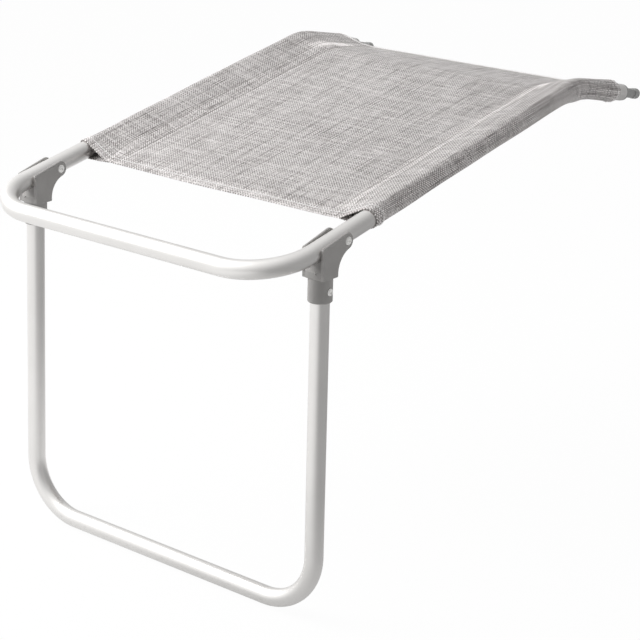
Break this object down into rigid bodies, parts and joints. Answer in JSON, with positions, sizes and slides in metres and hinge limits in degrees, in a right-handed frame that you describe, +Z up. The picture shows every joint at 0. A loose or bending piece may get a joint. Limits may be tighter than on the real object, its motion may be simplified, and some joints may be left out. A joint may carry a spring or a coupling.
{
  "type": "folding chair leg rest",
  "caption": "Clip-on leg rest for a folding camping chair: bent tube frame with a woven sling, a folding tube leg in plastic hinge brackets, and plug pins that go into the chair.",
  "frame": {"origin": "midway between the end faces of the frame's two tubes, at the chair end, where the end plugs' collars begin", "axes": "+X across the leg rest, +Y from the foot end to the chair, +Z up as it stands in use"},
  "size_m": [0.479, 0.7771, 0.5382],
  "materials": {
    "aluminium": "satin anodised",
    "bracket_plastic": "fine moulded texture",
    "plug_plastic": "moulded",
    "rivet_steel": "bright",
    "mesh_cloth": "open woven mesh, light grey melange"
  },
  "bodies": {
    "frame": {"frame_tube": "aluminium", "end_plug_left": "plug_plastic", "end_plug_right": "plug_plastic", "pivot_rivet_left": "rivet_steel", "pivot_rivet_right": "rivet_steel", "sling_panel": "mesh_cloth", "sleeve_left": "mesh_cloth", "sleeve_right": "mesh_cloth", "near_hem": "mesh_cloth", "far_hem": "mesh_cloth"},
    "leg": {"leg_tube": "aluminium", "bracket_left": "bracket_plastic", "bracket_right": "bracket_plastic", "socket_rivet_left": "rivet_steel", "socket_rivet_right": "rivet_steel"}
  },
  "joints": [
    {"name": "leg_fold", "type": "hinge", "parent": "frame", "child": "leg", "pos_m": [0, -0.60796, -0.04295], "axis": [1, 0, 0], "range_deg": [0, 100]}
  ]
}
